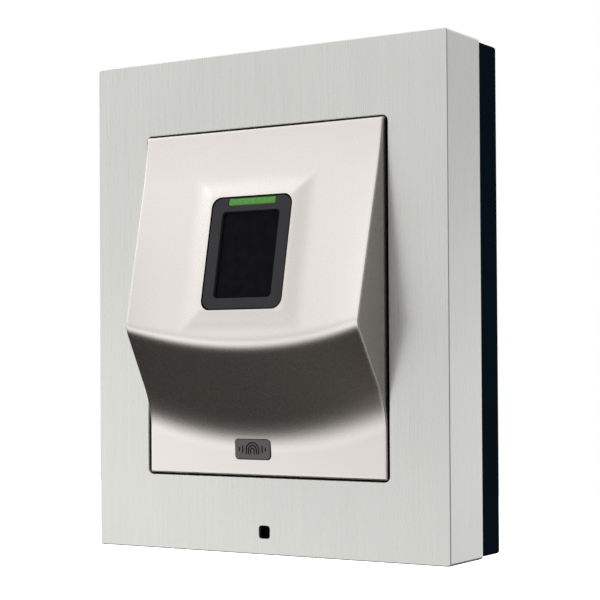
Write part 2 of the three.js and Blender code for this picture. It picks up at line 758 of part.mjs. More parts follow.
const BOARD_SOCKET_Z = -14;
const boardSocket = onBoard(SOCKET.width / 2, SOCKET.depth, SOCKET.length / 2, 0, BOARD_SOCKET_Z);
addPiece(terminal, "board_ribbon_socket", boardSocket, FINISH.whitePlastic);

const SOUNDER = { x: 20, z: -18, radius: 4.8, height: 4.5 };
const sounder = turned([
  [0, MAIN_BOARD.frontY - SOUNDER.height],
  [0.9, MAIN_BOARD.frontY - SOUNDER.height],
  [SOUNDER.radius - 0.4, MAIN_BOARD.frontY - SOUNDER.height],
  [SOUNDER.radius, MAIN_BOARD.frontY - SOUNDER.height + 0.4],
  [SOUNDER.radius, MAIN_BOARD.frontY - 0.05],
  [0, MAIN_BOARD.frontY - 0.05],
]);
const soundHole = rod(1, [MAIN_BOARD.frontY - SOUNDER.height - 1, MAIN_BOARD.frontY - 3.4], 0, 0, 12);
const sounderPiece = addPiece(terminal, "sounder", cut(sounder, soundHole), FINISH.component);
sounderPiece.position.set(SOUNDER.x, 0, SOUNDER.z);

// The flat ribbon hangs from the scanner's socket, bends back and drops into the board's socket.
function ribbonCable() {
  const start = new THREE.Vector3(0, SENSOR_BOARD.rearY + 1.6, SENSOR_SOCKET_Z - SOCKET.length / 2 - 0.3);
  start.applyMatrix4(reader.matrix);
  const end = new THREE.Vector3(0, MAIN_BOARD.frontY - 1.3, BOARD_SOCKET_Z - SOCKET.length / 2 - 0.3);
  const route = new THREE.CubicBezierCurve(
    new THREE.Vector2(start.y, start.z),
    new THREE.Vector2(start.y - 3, start.z - 16),
    new THREE.Vector2(end.y - 1, end.z - 17),
    new THREE.Vector2(end.y, end.z),
  );
  const steps = 18;
  const near = [];
  const far = [];
  for (let i = 0; i <= steps; i++) {
    const at = route.getPoint(i / steps);
    const along = route.getTangent(i / steps);
    const aside = new THREE.Vector2(-along.y, along.x).multiplyScalar(RIBBON.thickness / 2);
    near.push(at.clone().add(aside));
    far.unshift(at.clone().sub(aside));
  }
  const profile = new THREE.Shape([...near, ...far]);
  const strip = new THREE.ExtrudeGeometry(profile, { depth: RIBBON.width, bevelEnabled: false });
  // The profile's axes are Y and Z, so the strip's thickness direction turns to X.
  const toPlace = new THREE.Matrix4().makeBasis(
    new THREE.Vector3(0, 1, 0),
    new THREE.Vector3(0, 0, 1),
    new THREE.Vector3(1, 0, 0),
  );
  return strip.applyMatrix4(toPlace).translate(-RIBBON.width / 2, 0, 0);
}
addPiece(terminal, "ribbon_cable", ribbonCable(), FINISH.ribbon);

// The wires from the wall end in a plug that pushes up into a header on the back of the board.
const terminalHeader = cut(
  block(
    spread(0, TERMINAL.width / 2),
    [TERMINAL.bottomY, TERMINAL.topY],
    [TERMINAL.headerLow, TERMINAL.headerHigh],
  ),
  block(
    spread(0, TERMINAL.width / 2 - 1),
    [TERMINAL.bottomY + 1, TERMINAL.topY - 1],
    [TERMINAL.headerLow - 1, TERMINAL.headerHigh - 1.5],
  ),
);
addPiece(terminal, "terminal_header", terminalHeader, FINISH.terminal);

function terminalPlug() {
  const pitch = (TERMINAL.width - 1) / TERMINAL_WAYS;
  const middleY = (TERMINAL.bottomY + TERMINAL.topY) / 2;
  let plug = join(
    block(
      spread(0, TERMINAL.width / 2),
      [TERMINAL.bottomY, TERMINAL.topY],
      [TERMINAL.plugLow, TERMINAL.headerLow - RUNNING_GAP],
    ),
    block(
      spread(0, TERMINAL.width / 2 - 1.2),
      [TERMINAL.bottomY + 1.2, TERMINAL.topY - 1.2],
      [TERMINAL.headerLow - 1, TERMINAL.headerHigh - 2],
    ),
  );
  for (let way = 0; way < TERMINAL_WAYS; way++) {
    const x = (way - (TERMINAL_WAYS - 1) / 2) * pitch;
    const holeDepth = [TERMINAL.plugLow - 1, TERMINAL.plugLow + TERMINAL.holeDepth];
    const wireHole = block(spread(x, TERMINAL.holeX), spread(middleY, TERMINAL.holeY), holeDepth);
    const screwHole = rod(1.15, [TERMINAL.topY - 1.6, TERMINAL.topY + 1], x, TERMINAL.plugLow + 4.4, 14);
    plug = cut(plug, wireHole, screwHole);
  }
  return plug;
}
addPiece(terminal, "terminal_plug", terminalPlug(), FINISH.terminal);

// ---------------------------------------------------------------- reset and tamper switches

function serviceBoard() {
  const { width, height, frontY, rearY } = SERVICE.board;
  const outline = roundedRectangle(width, height, 0.8, 0, SERVICE.z);
  for (const side of [-1, 1]) {
    const hole = new THREE.Path();
    hole.absarc(side * SERVICE.stakeX, SERVICE.z, 1.15, 0, 2 * Math.PI);
    outline.holes.push(hole);
  }
  return slab(outline, rearY, frontY, 6);
}
addPiece(terminal, "service_board", serviceBoard(), FINISH.board);

function switchBody(x, boreRadius, boreRearY) {
  const half = SERVICE.switchSize / 2;
  return cut(
    block(spread(x, half), [SERVICE.switchFrontY, SERVICE.board.frontY - 0.05], spread(SERVICE.z, half)),
    rod(boreRadius, [SERVICE.switchFrontY - 1, boreRearY], x, SERVICE.z),
  );
}
const resetSwitch = switchBody(SERVICE.resetX, RESET.stem + RUNNING_GAP, RESET.boreRearY);
addPiece(terminal, "reset_switch", resetSwitch, FINISH.component);
const tamperSwitch = switchBody(SERVICE.tamperX, TAMPER.radius + RUNNING_GAP, TAMPER.boreRearY);
addPiece(terminal, "tamper_switch", tamperSwitch, FINISH.component);

const resetButton = turned(
  [
    [0, RESET.capFrontY],
    [RESET.cap - 0.25, RESET.capFrontY],
    [RESET.cap, RESET.capFrontY + 0.25],
    [RESET.cap, RESET.capRearY],
    [RESET.stem, RESET.capRearY],
    [RESET.stem, RESET.stemRearY],
    [0, RESET.stemRearY],
  ],
  20,
);
const resetPiece = addPiece(terminal, "reset_button", resetButton, FINISH.whitePlastic);
resetPiece.position.set(SERVICE.resetX, 0, SERVICE.z);

const tamperPlunger = turned(
  [
    [0, TAMPER.frontY],
    [TAMPER.radius * TAMPER.tipFlat, TAMPER.frontY],
    [TAMPER.radius, TAMPER.frontY + 0.6],
    [TAMPER.radius, TAMPER.rearY],
    [0, TAMPER.rearY],
  ],
  20,
);
addPiece(terminal, "tamper_plunger", tamperPlunger, FINISH.whitePlastic).position.set(
  SERVICE.tamperX,
  0,
  SERVICE.z,
);

export default terminal;
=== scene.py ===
"""The looks of a wall-mounted fingerprint scanner terminal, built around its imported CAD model.

Shapes are worked out in millimetres in the CAD frame (+Z up, front towards -Y, wall at y = 0) and
written to Blender in metres. The visible shells are rebuilt here with fine surfaces and soft edges.
"""
import json
import math

import bmesh
import bpy
from mathutils import Matrix, Vector

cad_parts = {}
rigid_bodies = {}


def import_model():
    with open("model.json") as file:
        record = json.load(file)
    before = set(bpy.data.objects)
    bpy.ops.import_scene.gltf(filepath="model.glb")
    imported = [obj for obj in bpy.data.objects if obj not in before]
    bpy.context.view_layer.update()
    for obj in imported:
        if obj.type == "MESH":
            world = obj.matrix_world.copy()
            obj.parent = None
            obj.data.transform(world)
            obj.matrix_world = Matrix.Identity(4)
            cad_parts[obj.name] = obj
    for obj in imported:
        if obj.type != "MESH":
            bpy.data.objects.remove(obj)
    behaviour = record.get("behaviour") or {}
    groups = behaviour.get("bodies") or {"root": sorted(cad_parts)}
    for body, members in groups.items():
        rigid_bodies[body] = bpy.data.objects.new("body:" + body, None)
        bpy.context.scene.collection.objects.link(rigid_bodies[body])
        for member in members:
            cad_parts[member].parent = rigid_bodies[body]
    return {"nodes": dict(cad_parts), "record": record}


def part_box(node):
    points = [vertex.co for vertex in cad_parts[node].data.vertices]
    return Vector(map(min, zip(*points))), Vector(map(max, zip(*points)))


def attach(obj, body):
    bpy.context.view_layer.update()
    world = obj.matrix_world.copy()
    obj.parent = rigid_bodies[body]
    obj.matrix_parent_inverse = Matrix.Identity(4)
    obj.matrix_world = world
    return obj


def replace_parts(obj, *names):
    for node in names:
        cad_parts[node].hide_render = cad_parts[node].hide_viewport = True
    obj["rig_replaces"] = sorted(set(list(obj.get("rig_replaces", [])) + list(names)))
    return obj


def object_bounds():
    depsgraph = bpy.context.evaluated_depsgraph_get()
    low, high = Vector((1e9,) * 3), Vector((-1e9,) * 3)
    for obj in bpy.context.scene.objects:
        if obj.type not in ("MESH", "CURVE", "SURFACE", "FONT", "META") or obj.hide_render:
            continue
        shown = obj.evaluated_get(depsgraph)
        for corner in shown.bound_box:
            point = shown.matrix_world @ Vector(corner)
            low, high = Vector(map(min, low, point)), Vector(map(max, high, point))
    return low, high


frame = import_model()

CAD_LOW, CAD_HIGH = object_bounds()
MM = 0.001

# ---------------------------------------------------------------- sizes taken over from the CAD model


def node_box(node):
    """The lowest and highest corner of a CAD node, in millimetres."""
    low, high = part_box(node)
    return low / MM, high / MM


FRAME_LOW, FRAME_HIGH = node_box("front_frame")
FRONT_Y = FRAME_LOW.y
FRAME_PLATE = 2
FRAME_WALLS = {"side": 2, "top": 2, "bottom": 3}
FRAME_CORNER = 0.8
FRAME_EDGE = 0.28
FRAME_REAR_EDGE = 0.15
FRAME_INNER_CORNER = 0.3
APERTURE = {"half_x": 36.85, "half_z": 45.3, "corner": 1.4}
PORT = {"half": 1.7, "corner": 0.8, "z": -59.2}
PLUG = {
    "half": 1.6,
    "corner": 0.7,
    "lip_front_y": -25.7,
    "edge": 0.15,
    "rim": 0.55,
    "rim_corner": 0.35,
    "dish": 0.62,
    "dish_corner": 0.3,
    "dish_depth": 0.35,
}
HOOK = {"x": 28, "half": 6, "y": (-13, -12), "low": 61}
LOCK = {"x": 30, "y": -14.5, "slot": 3.5, "recess": 6.8, "recess_high": -63}

COVER = {"width": 72.5, "height": 89.6, "wall": 2, "draft": 0.09, "rear_y": -24.1, "edge": 0.4}
HOOD = {
    "slope": 0.212,
    "slope_at_sides": 0.03,
    "underside": 0.512,
    "underside_at_sides": 0.078,
    "foot_middle": -34.4,
    "foot_rise": 6.9,
    "ridge_softness": 1.8,
    "cove_softness": 2.4,
    "cove_widening": 1.0,
}
HOOD_CELL = 0.55
HOLLOW_CELL = 1.6
HOLLOW_EDGE = 0.3
RIM_STEP = 0.05
COVER_FLANGE = {"half_x": 40, "half_z": 48.5, "corner": 2, "front_y": -25.5, "rear_y": -24.1}
POST = {"x": 30, "z": 38}
COVER_BOSS = {"radius": 2.7, "rear_y": -16.2, "bore": 1.15, "bore_front_y": -24}
FLANGE_EDGE = 0.25
OPENING_REACH = (4, -3)
SEAT_REACH = 9

READER_Z = 12.3
PAD = {"width": 34.6, "height": 39, "top_width": 25, "top_height": 30.4, "proud": 0.8}
PAD_SOFTNESS = {"hip": 0.10, "top": 0.16, "foot": 0.34}
PAD_REACH = -0.6
BEZEL = {
    "half_x": 12,
    "half_z": 14.7,
    "corner": 2.8,
    "front_y": -0.7,
    "shoulder_y": 2.3,
    "rear_y": 3.5,
    "flange_x": 13.5,
    "flange_z": 16.2,
    "gap": 0.3,
    "edge": 0.22,
    "window_edge": 0.15,
    "window_flare": 0.12,
}
WINDOW = {
    "centre": (0, -0.45),
    "half_x": 8.6,
    "half_z": 11.3,
    "corner": 1,
    "front_y": 0.1,
    "lip": 0.5,
    "gap": 0.1,
    "thickness": 1.3,
    "edge": 0.12,
}
LIGHT = {
    "half_x": 7.1,
    "height": 1.8,
    "top_gap": 0.25,
    "front_y": -0.65,
    "rear_y": 6.6,
    "gap": 0.1,
    "corner": 0.25,
    "edge": 0.12,
}
NOTCH_REACH = 9
LEG = {"x": 11.6, "z": 14, "half": 1.1, "end_y": 7.5, "root": 0.5}
BADGE = {
    "x": -3.3,
    "z": -38,
    "half_x": 5.45,
    "half_z": 2.6,
    "corner": 1,
    "front_y": -28.35,
    "rear_y": -27.3,
    "gap": 0.12,
    "edge": 0.22,
}
ENGRAVING = {"depth": 0.25, "line": 0.35, "arches": (0.7, 1.4, 2.1), "foot": -1.3, "spring": -0.2}
ENGRAVED_CORNER = 0.1
# The half heights of the mark's bars, by their distance from its middle.
ENGRAVED_BARS = {3: 0.95, 4: 0.5}
CUT_REACH = 1
# How far behind the front faces, as (start, end), the cover turns to painted gap shade and the badge's dark
# fill begins.
GAP_SHADE_DEPTH = (0.1, 0.5)
BADGE_FILL = (0.07, 0.15)

READER_TILT = -math.atan(HOOD["slope"])
READER_PLACE = Matrix.Translation(
    (0, FRONT_Y - HOOD["slope"] * (COVER["height"] / 2 - READER_Z), READER_Z)
) @ Matrix.Rotation(READER_TILT, 4, "X")

# ---------------------------------------------------------------- mesh helpers

# Angles in degrees: the sharpest crease that is shaded smooth, the flattest edge that gets rounded,
# and the crease between two faces that count as one.
SMOOTH_ANGLE = 35
ROUNDED_ANGLE = 40
FLAT_ANGLE = 1
WELD_DISTANCE = 0.002
LEAST_CORNER = 0.02
COVER_SMOOTH_ANGLE = 30
READER_STEPS = 12


def mesh_object(name, points, faces, smooth_angle=SMOOTH_ANGLE):
    """A mesh object from points in millimetres, with its faces turned outwards."""
    mesh = bpy.data.meshes.new(name)
    mesh.from_pydata([tuple(c * MM for c in p) for p in points], [], faces)
    made = bmesh.new()
    made.from_mesh(mesh)
    bmesh.ops.recalc_face_normals(made, faces=made.faces)
    made.to_mesh(mesh)
    made.free()
    smooth(mesh, smooth_angle)
    piece = bpy.data.objects.new(name, mesh)
    bpy.context.scene.collection.objects.link(piece)
    return piece


def smooth(mesh, angle):
    mesh.shade_smooth()
    mesh.set_sharp_from_angle(angle=math.radians(angle))


def rounded_loop(half_x, half_z, radius, y, centre=(0, 0), steps=8):
    """A rectangle with round corners at depth y, as a ring of points."""
    ring = []
    for quarter, (side_x, side_z) in enumerate([(1, -1), (1, 1), (-1, 1), (-1, -1)]):
        start = (quarter - 1) * math.pi / 2
        for step in range(steps + 1):
            angle = start + step / steps * math.pi / 2
            x = centre[0] + side_x * (half_x - radius) + radius * math.cos(angle)
            z = centre[1] + side_z * (half_z - radius) + radius * math.sin(angle)
            ring.append((x, y, z))
    return ring


def loft(name, loops, closed=False, smooth_angle=SMOOTH_ANGLE):
    """Skins a row of loops with the same number of points: a closed ring, or a solid with flat ends."""
    count = len(loops[0])
    points = [p for loop in loops for p in loop]
    faces = []
    for row in range(len(loops) if closed else len(loops) - 1):
        here = row * count
        there = (row + 1) % len(loops) * count
        for i in range(count):
            j = (i + 1) % count
            faces.append((here + i, here + j, there + j, there + i))
    if not closed:
        faces.append(tuple(range(count)))
        faces.append(tuple(range((len(loops) - 1) * count, len(loops) * count)))
    return mesh_object(name, points, faces, smooth_angle)


def slab(name, half_x, half_z, radius, rear_y, front_y, edge=0.0, centre=(0, 0), steps=8):
    """A rounded rectangle with thickness, and its front edge rounded by `edge`."""
    loops = [rounded_loop(half_x, half_z, radius, rear_y, centre, steps)]
    loops += edge_loops(half_x, half_z, radius, front_y, edge, centre, steps)
    return loft(name, loops)


def edge_loops(half_x, half_z, radius, front_y, edge, centre=(0, 0), steps=8, turns=3):
    """Loops that round an outer edge over from the side to the front face."""
    if not edge:
        return [rounded_loop(half_x, half_z, radius, front_y, centre, steps)]
    loops = []
    for turn in range(turns + 1):
        angle = turn / turns * math.pi / 2
        inwards = edge * (1 - math.cos(angle))
        y = front_y + edge * (1 - math.sin(angle))
        corner = max(radius - inwards, LEAST_CORNER)
        loops.append(rounded_loop(half_x - inwards, half_z - inwards, corner, y, centre, steps))
    return loops


def hole_loops(half_x, half_z, radius, front_y, edge, centre=(0, 0), steps=8, turns=3):
    """Loops that round the rim of an opening over from the front face to its wall."""
    loops = []
    for turn in range(turns + 1):
        angle = turn / turns * math.pi / 2
        outwards = edge * (1 - math.sin(angle))
        y = front_y + edge * (1 - math.cos(angle))
        loops.append(
            rounded_loop(half_x + outwards, half_z + outwards, radius + outwards, y, centre, steps)
        )
    return loops


def turned(name, profile, x=0.0, z=0.0, segments=56, smooth_angle=SMOOTH_ANGLE):
    """A profile of (radius, y) turned about a line along Y. It starts and ends on the axis, or closes."""
    on_axis = [i for i, (radius, _) in enumerate(profile) if radius == 0]
    points = []
    index = {}
    for i, (radius, y) in enumerate(profile):
        for s in range(1 if radius == 0 else segments):
            angle = 2 * math.pi * s / segments
            index[i, s] = len(points)
            points.append((x + radius * math.cos(angle), y, z + radius * math.sin(angle)))
        if radius == 0:
            for s in range(segments):
                index[i, s] = index[i, 0]
    faces = []
    last = len(profile) - 1 if on_axis else len(profile)
    for i in range(last):
        k = (i + 1) % len(profile)
        for s in range(segments):
            t = (s + 1) % segments
            corner = [index[i, s], index[i, t], index[k, t], index[k, s]]
            faces.append(tuple(dict.fromkeys(corner)))
    return mesh_object(name, points, faces, smooth_angle)


def rod(name, radius, start_y, end_y, x=0.0, z=0.0, segments=48):
    """A round rod along Y."""
    return turned(name, [(0, start_y), (radius, start_y), (radius, end_y), (0, end_y)], x, z, segments)


def block(name, low, high):
    points = [(x, y, z) for x in (low[0], high[0]) for y in (low[1], high[1]) for z in (low[2], high[2])]
    faces = [(0, 1, 3, 2), (4, 6, 7, 5), (0, 4, 5, 1), (2, 3, 7, 6), (0, 2, 6, 4), (1, 5, 7, 3)]
    return mesh_object(name, points, faces)


def place(piece, matrix):
    """Moves a piece's mesh by a matrix in millimetres."""
    scale = Matrix.Diagonal((MM, MM, MM, 1))
    piece.data.transform(scale @ matrix @ scale.inverted())
    return piece


def combine(body, tools, operation, smooth_angle=SMOOTH_ANGLE):
    """Joins pieces to the body or cuts them from it, and removes the tools."""
    for tool in tools:
        modifier = body.modifiers.new("combine", "BOOLEAN")
        modifier.operation = operation
        modifier.object = tool
        modifier.solver = "MANIFOLD"
        bpy.context.view_layer.update()
        ready = body.evaluated_get(bpy.context.evaluated_depsgraph_get())
        mesh = bpy.data.meshes.new_from_object(ready)
        body.modifiers.clear()
        body.data = mesh
        bpy.data.objects.remove(tool)
    smooth(body.data, smooth_angle)
    return body


def cut(body, *tools):
    return combine(body, tools, "DIFFERENCE")


def join(body, *tools):
    return combine(body, tools, "UNION")


def refined(node, edge, segments=2, smooth_angle=SMOOTH_ANGLE):
    """A copy of a CAD node with its flat faces cleaned up and its sharp edges rounded by `edge`."""
    mesh = frame["nodes"][node].data.copy()
    mesh.name = node + "_fine"
    mesh.materials.clear()
    if mesh.has_custom_normals:
        mesh.attributes.remove(mesh.attributes["custom_normal"])
    made = bmesh.new()
    made.from_mesh(mesh)
    bmesh.ops.remove_doubles(made, verts=made.verts, dist=WELD_DISTANCE * MM)
    bmesh.ops.dissolve_limit(
        made, angle_limit=math.radians(FLAT_ANGLE), verts=made.verts, edges=made.edges, delimit=set()
    )
    creases = [e for e in made.edges if len(e.link_faces) == 2]
    sharp = [e for e in creases if e.calc_face_angle() > math.radians(ROUNDED_ANGLE)]
    bmesh.ops.bevel(
        made,
        geom=sharp,
        offset=edge * MM,
        offset_type="OFFSET",
        segments=segments,
        profile=0.5,
        affect="EDGES",
        clamp_overlap=True,
    )
    made.to_mesh(mesh)
    made.free()
    smooth(mesh, smooth_angle)
    piece = bpy.data.objects.new(node + "_fine", mesh)
    bpy.context.scene.collection.objects.link(piece)
    return piece


def stands_for(piece, node, material, body):
    """Gives a finished piece its material, its CAD node and its body."""
    piece.data.materials.clear()
    piece.data.materials.append(material)
    even = piece.modifiers.new("even_shading", "WEIGHTED_NORMAL")
    even.keep_sharp = True
    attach(piece, body)
    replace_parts(piece, node)
    return piece


def corners(x, z):
    return [(-x, z), (x, z), (x, -z), (-x, -z)]


# ---------------------------------------------------------------- materials


class Shader:
    """A small helper that adds nodes to one material."""

    def __init__(self, name):
        self.material = bpy.data.materials.new(name)
        self.material.use_nodes = True
        self.tree = self.material.node_tree
        self.surface = self.tree.nodes["Principled BSDF"]
        self.place = self.add("ShaderNodeTexCoord").outputs["Object"]

    def add(self, kind, **settings):
        node = self.tree.nodes.new(kind)
        for key, value in settings.items():
            setattr(node, key, value)
        return node

    def link(self, source, target):
        self.tree.links.new(source, target)

    def set(self, **values):
        for key, value in values.items():
            self.surface.inputs[key.replace("_", " ")].default_value = value

    def stretched(self, scale):
        mapping = self.add("ShaderNodeMapping")
        mapping.inputs["Scale"].default_value = scale
        self.link(self.place, mapping.inputs["Vector"])
        return mapping.outputs["Vector"]

    def noise(self, size, detail=2.0, stretch=None, roughness=0.5):
        """Noise whose features are about `size` millimetres across."""
        node = self.add("ShaderNodeTexNoise")
        node.inputs["Scale"].default_value = 1.0 if stretch else 1 / (size * MM)
        node.inputs["Detail"].default_value = detail
        node.inputs["Roughness"].default_value = roughness
        self.link(self.stretched(stretch) if stretch else self.place, node.inputs["Vector"])
        return node.outputs["Fac"]

    def ramp(self, source, low, high, at=(0.3, 0.7)):
        node = self.add("ShaderNodeValToRGB")
        first, last = node.color_ramp.elements
        first.position, last.position = at
        first.color = (*low, 1) if hasattr(low, "__len__") else (low, low, low, 1)
        last.color = (*high, 1) if hasattr(high, "__len__") else (high, high, high, 1)
        self.link(source, node.inputs["Fac"])
        return node.outputs["Color"]

    def mix(self, share, first, second, blend="MIX"):
        node = self.add("ShaderNodeMix", data_type="RGBA", blend_type=blend)
        for value, key in ((share, "Factor"), (first, "A"), (second, "B")):
            socket = next(s for s in node.inputs if s.name == key and s.enabled)
            if hasattr(value, "links"):
                self.link(value, socket)
            else:
                socket.default_value = value if key == "Factor" else (*value, 1)
        return node.outputs[2]

    def bump(self, height, strength, depth):
        node = self.add("ShaderNodeBump")
        node.inputs["Strength"].default_value = strength
        node.inputs["Distance"].default_value = depth * MM
        self.link(height, node.inputs["Height"])
        self.link(node.outputs["Normal"], self.surface.inputs["Normal"])

    def colour(self, source):
        self.link(source, self.surface.inputs["Base Color"])

    def rough(self, source):
        self.link(source, self.surface.inputs["Roughness"])


def shaded(colour, by):
    return tuple(min(1.0, c * by) for c in colour)


def brushed_metal():
    """Satin metal with fine vertical brush lines, darker or rougher along some of them."""
    s = Shader("brushed_metal")
    s.set(Metallic=0.72)
    fine = s.noise(0, 3.0, stretch=(5200, 5200, 60))
    wide = s.noise(0, 3.0, stretch=(900, 900, 11))
    patch = s.noise(45, 2.0)
    base = (0.815, 0.818, 0.785)
    lines = s.ramp(wide, shaded(base, 0.988), shaded(base, 1.008), (0.32, 0.68))
    hair = s.ramp(fine, (0.975, 0.975, 0.975), (1.015, 1.015, 1.015))
    cloud = s.ramp(patch, (0.975, 0.975, 0.97), (1.02, 1.02, 1.015))
    s.colour(s.mix(1.0, s.mix(1.0, lines, hair, "MULTIPLY"), cloud, "MULTIPLY"))
    s.rough(s.ramp(fine, 0.25, 0.33, (0.25, 0.75)))
    s.bump(fine, 0.25, 0.02)
    return s.material


def cover_paint():
    """Warm silver paint with very fine flake. Just inside the frame it turns near black, as painted shade in
    the gap.
    """
    s = Shader("cover_paint")
    s.set(Metallic=0.96)
    flake = s.noise(0.16, 2.0)
    cloud = s.noise(30, 2.0)
    base = (0.83, 0.79, 0.755)
    grain = s.ramp(flake, shaded(base, 0.985), shaded(base, 1.012))
    tint = s.ramp(cloud, (0.985, 0.98, 0.975), (1.01, 1.01, 1.01))
    # Near black behind the frame's face: painted shade in the gap between the cover and the frame.
    split = s.add("ShaderNodeSeparateXYZ")
    s.link(s.place, split.inputs[0])
    gap_shade = s.add("ShaderNodeMapRange")
    gap_shade.inputs["From Min"].default_value = (FRONT_Y + GAP_SHADE_DEPTH[0]) * MM
    gap_shade.inputs["From Max"].default_value = (FRONT_Y + GAP_SHADE_DEPTH[1]) * MM
    s.link(split.outputs["Y"], gap_shade.inputs["Value"])
    paint = s.mix(1.0, grain, tint, "MULTIPLY")
    s.colour(s.mix(gap_shade.outputs["Result"], paint, (0.006, 0.006, 0.007)))
    s.rough(s.ramp(flake, 0.265, 0.285))
    s.bump(s.noise(0.35, 2.0), 0.004, 0.01)
    return s.material


def moulded(name, base, rough=0.5, grain=0.18, depth=0.02, variation=0.25, shine=0.5):
    """Moulded plastic with a fine eroded texture and slightly uneven colour."""
    s = Shader(name)
    s.set(Specular_IOR_Level=shine)
    texture = s.noise(grain, 3.0)
    cloud = s.noise(9, 2.0)
    speck = s.ramp(texture, shaded(base, 1 - variation), shaded(base, 1 + variation))
    tint = s.ramp(cloud, (0.94, 0.94, 0.94), (1.05, 1.05, 1.05))
    s.colour(s.mix(1.0, speck, tint, "MULTIPLY"))
    s.rough(s.ramp(texture, rough - 0.06, rough + 0.08))
    s.bump(texture, 0.35, depth)
    return s.material


def dark_window():
    """The near-black finger window: a hard gloss coat over a faint, smudged lower layer."""
    s = Shader("dark_window")
    smudge = s.noise(3.2, 3.0, roughness=0.6)
    base = (0.0075, 0.0072, 0.0095)
    s.colour(s.ramp(smudge, shaded(base, 0.75), shaded(base, 1.45), (0.35, 0.75)))
    s.rough(s.ramp(smudge, 0.16, 0.28, (0.3, 0.8)))
    s.set(Specular_IOR_Level=0.03)
    return s.material


def green_light():
    """The lit guide: a slightly uneven green glow."""
    s = Shader("green_light")
    grain = s.noise(0.8, 2.0)
    glow = s.ramp(grain, (0.045, 0.225, 0.018), (0.08, 0.31, 0.033))
    s.colour(glow)
    s.link(glow, s.surface.inputs["Emission Color"])
    s.set(Roughness=0.35)
    s.surface.inputs["Emission Strength"].default_value = 0.35
    return s.material


def plated_steel(name, base=(0.60, 0.61, 0.62)):
    """Plated screw steel with turning marks and small dull spots."""
    s = Shader(name)
    s.set(Metallic=1.0)
    spots = s.noise(0.5, 3.0)
    rings = s.noise(0, 2.0, stretch=(3000, 600, 3000))
    s.colour(s.ramp(spots, shaded(base, 0.82), shaded(base, 1.12)))
    s.rough(s.ramp(rings, 0.24, 0.42))
    s.bump(rings, 0.2, 0.01)
    return s.material


def rubber():
    s = Shader("rubber")
    grain = s.noise(0.3, 4.0)
    s.colour(s.ramp(grain, (0.008, 0.008, 0.0085), (0.018, 0.018, 0.019)))
    s.rough(s.ramp(grain, 0.75, 0.92))
    s.bump(grain, 0.4, 0.03)
    return s.material


def circuit_board():
    """Green solder mask over copper lanes, with bare pads."""
    s = Shader("circuit_board")
    lanes = s.add("ShaderNodeTexBrick", offset=0.5, squash=1.0)
    lanes.inputs["Scale"].default_value = 260
    lanes.inputs["Mortar Size"].default_value = 0.035
    lanes.inputs["Color1"].default_value = (0.012, 0.10, 0.035, 1)
    lanes.inputs["Color2"].default_value = (0.016, 0.125, 0.045, 1)
    lanes.inputs["Mortar"].default_value = (0.03, 0.20, 0.07, 1)
    turned_place = s.add("ShaderNodeMapping")
    turned_place.inputs["Rotation"].default_value = (math.pi / 2, 0, 0)
    s.link(s.place, turned_place.inputs["Vector"])
    s.link(turned_place.outputs["Vector"], lanes.inputs["Vector"])
    pads = s.add("ShaderNodeTexVoronoi", feature="F1")
    pads.inputs["Scale"].default_value = 320
    s.link(s.place, pads.inputs["Vector"])
    bare = s.ramp(pads.outputs["Distance"], 1.0, 0.0, (0.10, 0.13))
    s.colour(s.mix(bare, lanes.outputs["Color"], (0.72, 0.52, 0.25)))
    s.rough(s.ramp(s.noise(2.0), 0.32, 0.48))
    s.bump(lanes.outputs["Fac"], 0.3, 0.02)
    return s.material


def ribbon_film():
    """Pale flat cable with its parallel conductors showing through."""
    s = Shader("ribbon_film")
    wave = s.add("ShaderNodeTexWave", wave_type="BANDS", bands_direction="X")
    wave.inputs["Scale"].default_value = 320
    s.link(s.place, wave.inputs["Vector"])
    s.colour(s.ramp(wave.outputs["Fac"], (0.78, 0.76, 0.70), (0.52, 0.50, 0.46), (0.35, 0.6)))
    s.rough(s.ramp(s.noise(1.5), 0.35, 0.5))
    s.bump(wave.outputs["Fac"], 0.2, 0.03)
    return s.material


def badge_metal():
    """Grey satin badge whose engraved lines are filled dark."""
    s = Shader("badge_metal")
    s.set(Metallic=0.35, Specular_IOR_Level=0.2)
    grain = s.noise(0.14, 3.0)
    face = s.ramp(grain, (0.135, 0.131, 0.128), (0.19, 0.186, 0.183))
    split = s.add("ShaderNodeSeparateXYZ")
    s.link(s.place, split.inputs[0])
    engraved = s.add("ShaderNodeMapRange")
    engraved.inputs["From Min"].default_value = (BADGE["front_y"] + BADGE_FILL[0]) * MM
    engraved.inputs["From Max"].default_value = (BADGE["front_y"] + BADGE_FILL[1]) * MM
    s.link(split.outputs["Y"], engraved.inputs["Value"])
    s.colour(s.mix(engraved.outputs["Result"], face, (0.008, 0.008, 0.009)))
    s.rough(s.ramp(grain, 0.34, 0.48))
    s.bump(grain, 0.2, 0.01)
    return s.material


MATERIALS = {
    "brushed_metal": brushed_metal(),
    "cover_plastic": cover_paint(),
    "black_plastic": moulded(
        "black_plastic", (0.0070, 0.0155, 0.0240), rough=0.6, variation=0.25, shine=0.0
    ),
    "grey_plastic": moulded(
        "grey_plastic", (0.054, 0.053, 0.058), rough=0.45, variation=0.12, depth=0.012, shine=0.12
    ),
    "dark_glass": dark_window(),
    "green_light": green_light(),
    "badge_metal": badge_metal(),
    "rubber": rubber(),
    "circuit_board": circuit_board(),
    "component": moulded("component", (0.018, 0.018, 0.019), rough=0.42, grain=0.1, variation=0.3),
    "terminal_plastic": moulded("terminal_plastic", (0.03, 0.23, 0.06), rough=0.4, variation=0.1),
    "steel": plated_steel("steel"),
    "ribbon": ribbon_film(),
    "white_plastic": moulded(
        "white_plastic", (0.74, 0.72, 0.67), rough=0.42, variation=0.06, depth=0.01
    ),
}
PLUG_BLACK = moulded(
    "plug_black", (0.0018, 0.0018, 0.0024), rough=0.55, grain=0.08, variation=0.3, shine=0.02
)

# ---------------------------------------------------------------- the hood's surface


def soft_lower(a, b, softness):
    """The lower of two heights, with the crease between them rounded."""
    share = min(1.0, max(0.0, 0.5 + 0.5 * (b - a) / softness))
    return b * (1 - share) + a * share - softness * share * (1 - share)


